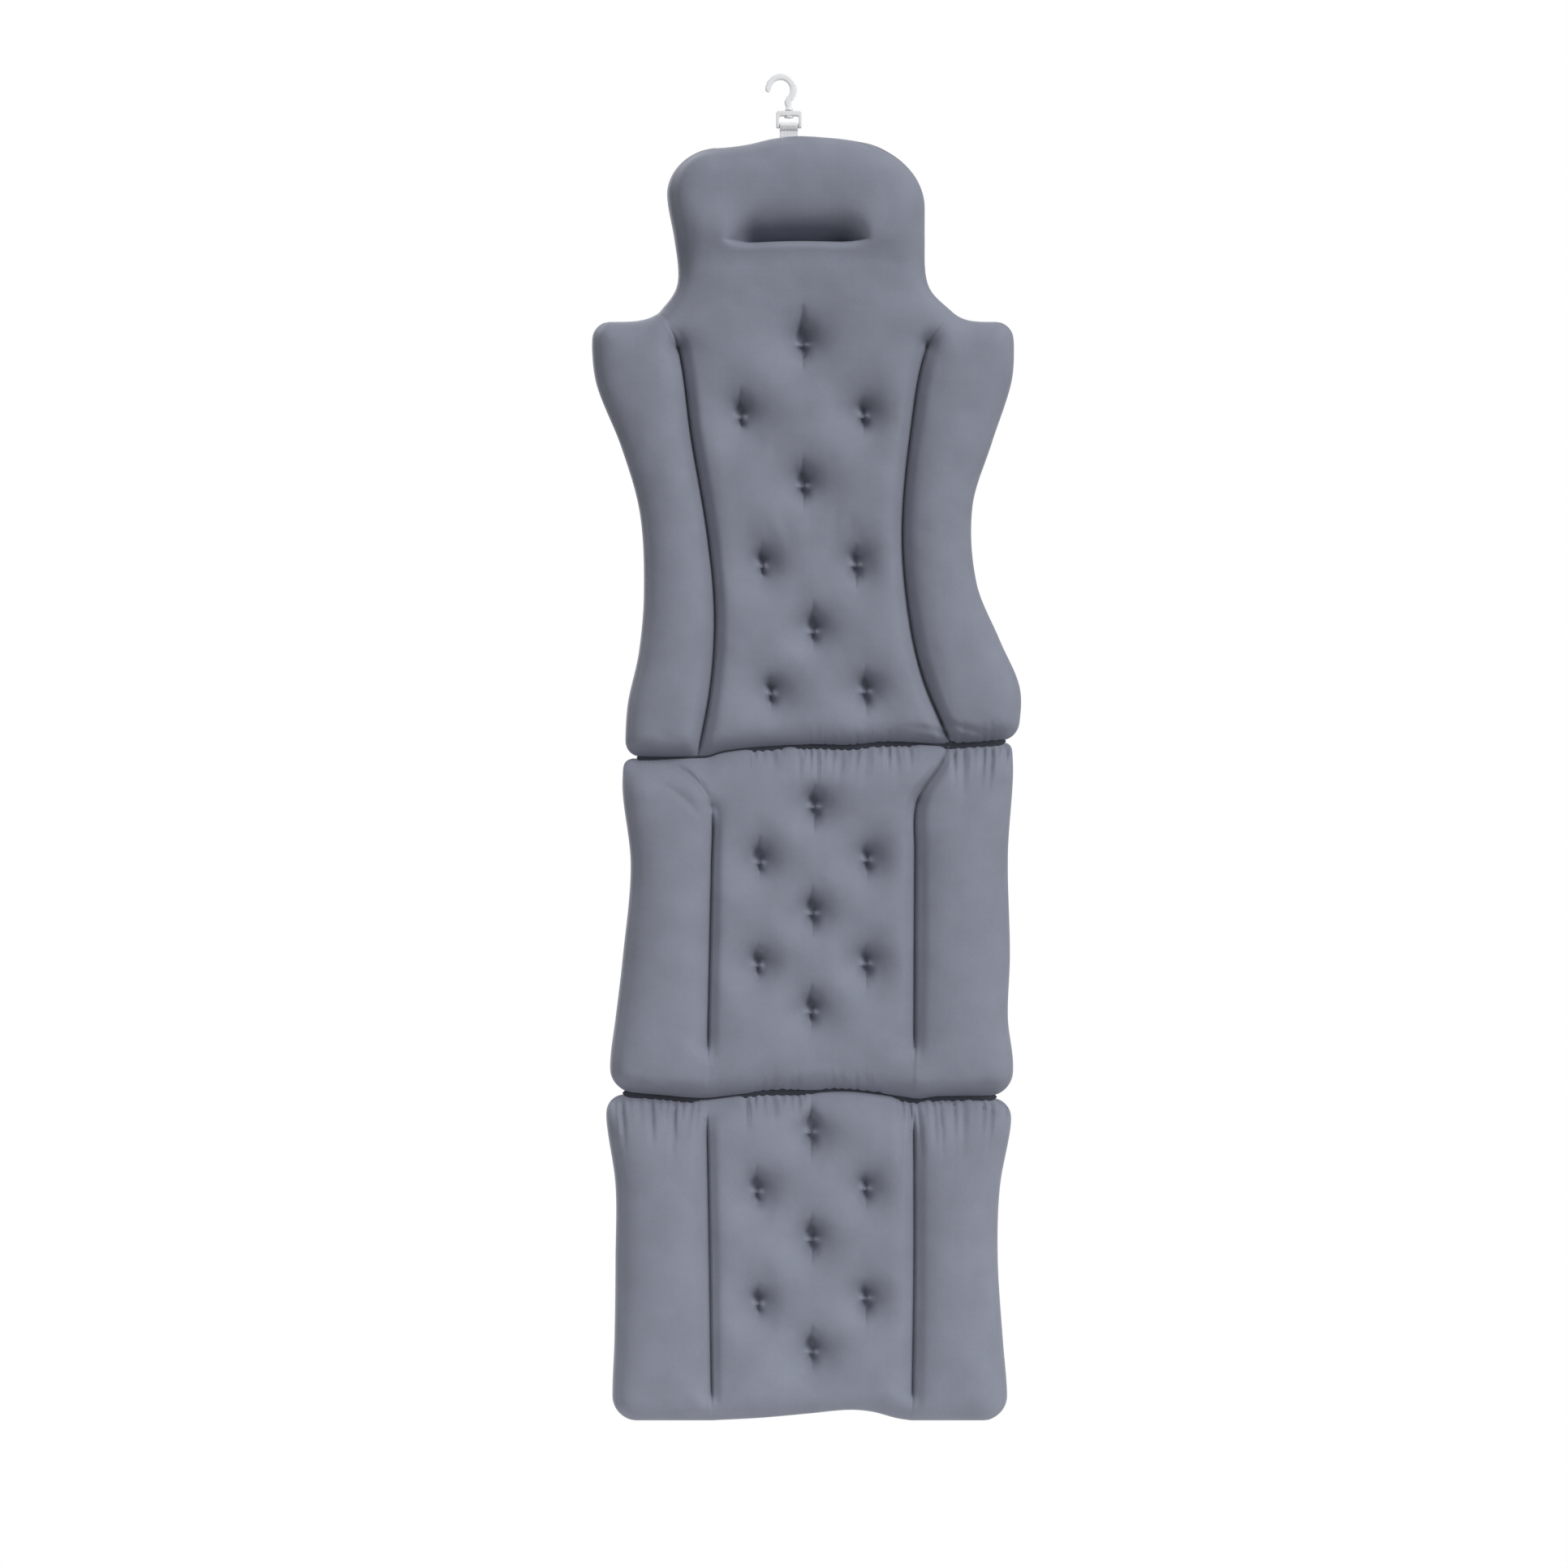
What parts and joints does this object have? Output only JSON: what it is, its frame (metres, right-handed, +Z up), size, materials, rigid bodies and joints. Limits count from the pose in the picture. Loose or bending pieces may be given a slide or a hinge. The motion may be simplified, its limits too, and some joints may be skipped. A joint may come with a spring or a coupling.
{
  "type": "bath pillow",
  "caption": "Padded full-body bath pillow of tufted panels that fold at sewn seams, with suction cups behind and a swivel hanging hook.",
  "frame": {"origin": "inside top of the hanging hook, where it bears on a rail", "axes": "+Z up along the hanging pad, -Y towards the padded face, +X to the right seen from the front"},
  "size_m": [0.4225, 0.0633, 1.3278],
  "materials": {
    "slate_fabric": "matte brushed microfibre",
    "rear_fabric": "matte woven backing",
    "fibre_fill": "loose polyester fibre",
    "webbing": "flat woven tape",
    "clear_plastic": "clear moulded",
    "pale_plastic": "pale moulded",
    "clear_vinyl": "soft clear vinyl"
  },
  "bodies": {
    "hook": {"hanging_hook": "clear_plastic"},
    "buckle": {"hook_buckle": "pale_plastic"},
    "back_panel": {"webbing_loop": "webbing", "back_face_cover": "slate_fabric", "back_rear_cover": "rear_fabric", "head_fill": "fibre_fill", "back_centre_fill": "fibre_fill", "back_left_bolster_fill": "fibre_fill", "back_right_bolster_fill": "fibre_fill", "upper_fold_strip": "slate_fabric", "suction_cup_01": "clear_vinyl", "suction_cup_02": "clear_vinyl", "suction_cup_03": "clear_vinyl", "suction_cup_04": "clear_vinyl", "suction_cup_05": "clear_vinyl", "suction_cup_06": "clear_vinyl"},
    "seat_panel": {"seat_face_cover": "slate_fabric", "seat_rear_cover": "rear_fabric", "seat_centre_fill": "fibre_fill", "seat_left_bolster_fill": "fibre_fill", "seat_right_bolster_fill": "fibre_fill", "lower_fold_strip": "slate_fabric", "suction_cup_07": "clear_vinyl", "suction_cup_08": "clear_vinyl", "suction_cup_09": "clear_vinyl", "suction_cup_10": "clear_vinyl"},
    "leg_panel": {"leg_face_cover": "slate_fabric", "leg_rear_cover": "rear_fabric", "leg_centre_fill": "fibre_fill", "leg_left_bolster_fill": "fibre_fill", "leg_right_bolster_fill": "fibre_fill", "suction_cup_11": "clear_vinyl", "suction_cup_12": "clear_vinyl", "suction_cup_13": "clear_vinyl", "suction_cup_14": "clear_vinyl"}
  },
  "joints": [
    {"name": "hook_swivel", "type": "hinge", "parent": "hook", "child": "buckle", "pos_m": [0.008, 0, -0.0329], "axis": [0, 0, 1], "continuous": true},
    {"name": "tab_hinge", "type": "hinge", "parent": "buckle", "child": "back_panel", "pos_m": [0.008, 0, -0.04496], "axis": [1, 0, 0], "range_deg": [-60, 60]},
    {"name": "upper_fold", "type": "hinge", "parent": "back_panel", "child": "seat_panel", "pos_m": [0.03, 0, -0.65896], "axis": [0.9994, 0, 0.0349], "range_deg": [-90, 110], "deforming": ["upper_fold_strip"]},
    {"name": "lower_fold", "type": "hinge", "parent": "seat_panel", "child": "leg_panel", "pos_m": [0.03, 0, -1.00096], "axis": [-1, 0, 0], "range_deg": [-110, 90], "deforming": ["lower_fold_strip"]}
  ]
}
